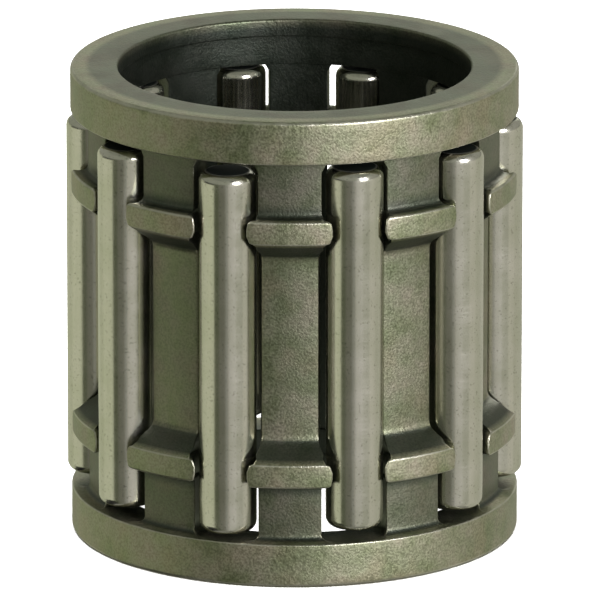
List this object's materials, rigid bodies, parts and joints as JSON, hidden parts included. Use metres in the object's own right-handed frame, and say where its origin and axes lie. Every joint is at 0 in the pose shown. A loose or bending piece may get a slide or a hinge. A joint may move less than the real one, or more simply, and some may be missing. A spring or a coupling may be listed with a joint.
{
  "type": "needle roller bearing",
  "caption": "Needle roller and cage assembly: slim steel rollers spin in the windows of a one-piece steel cage with a grooved outside, between a shaft and a housing bore.",
  "frame": {"origin": "centre of the lower end face of the cage, on the bearing axis", "axes": "+Z along the bearing axis, from the lower end face to the upper one; +X through the middle of roller_01's pocket, and the other pockets follow counter-clockwise as seen from above"},
  "size_m": [0.016, 0.0156, 0.0167],
  "materials": {
    "cage_steel": "matt, blasted and oil-darkened steel with a fine grain",
    "roller_steel": "finely ground bright bearing steel"
  },
  "bodies": {
    "cage": {"cage": "cage_steel"},
    "roller_01": {"roller_01": "roller_steel"},
    "roller_02": {"roller_02": "roller_steel"},
    "roller_03": {"roller_03": "roller_steel"},
    "roller_04": {"roller_04": "roller_steel"},
    "roller_05": {"roller_05": "roller_steel"},
    "roller_06": {"roller_06": "roller_steel"},
    "roller_07": {"roller_07": "roller_steel"},
    "roller_08": {"roller_08": "roller_steel"},
    "roller_09": {"roller_09": "roller_steel"},
    "roller_10": {"roller_10": "roller_steel"}
  },
  "joints": [
    {"name": "roller_01_spin", "type": "hinge", "parent": "cage", "child": "roller_01", "pos_m": [0.007, 0, 0.00835], "axis": [0, 0, 1], "continuous": true},
    {"name": "roller_02_spin", "type": "hinge", "parent": "cage", "child": "roller_02", "pos_m": [0.00571, 0.00405, 0.00847], "axis": [0, 0, 1], "continuous": true},
    {"name": "roller_03_spin", "type": "hinge", "parent": "cage", "child": "roller_03", "pos_m": [0.00232, 0.00661, 0.00841], "axis": [0, 0, 1], "continuous": true},
    {"name": "roller_04_spin", "type": "hinge", "parent": "cage", "child": "roller_04", "pos_m": [-0.00216, 0.00666, 0.00846], "axis": [0, 0, 1], "continuous": true},
    {"name": "roller_05_spin", "type": "hinge", "parent": "cage", "child": "roller_05", "pos_m": [-0.00569, 0.00408, 0.00847], "axis": [0, 0, 1], "continuous": true},
    {"name": "roller_06_spin", "type": "hinge", "parent": "cage", "child": "roller_06", "pos_m": [-0.007, 0.00006, 0.00835], "axis": [0, 0, 1], "continuous": true},
    {"name": "roller_07_spin", "type": "hinge", "parent": "cage", "child": "roller_07", "pos_m": [-0.00576, -0.00399, 0.00837], "axis": [0, 0, 1], "continuous": true},
    {"name": "roller_08_spin", "type": "hinge", "parent": "cage", "child": "roller_08", "pos_m": [-0.00216, -0.00666, 0.00823], "axis": [0, 0, 1], "continuous": true},
    {"name": "roller_09_spin", "type": "hinge", "parent": "cage", "child": "roller_09", "pos_m": [0.00222, -0.00664, 0.0084], "axis": [0, 0, 1], "continuous": true},
    {"name": "roller_10_spin", "type": "hinge", "parent": "cage", "child": "roller_10", "pos_m": [0.00566, -0.00411, 0.00838], "axis": [0, 0, 1], "continuous": true}
  ]
}
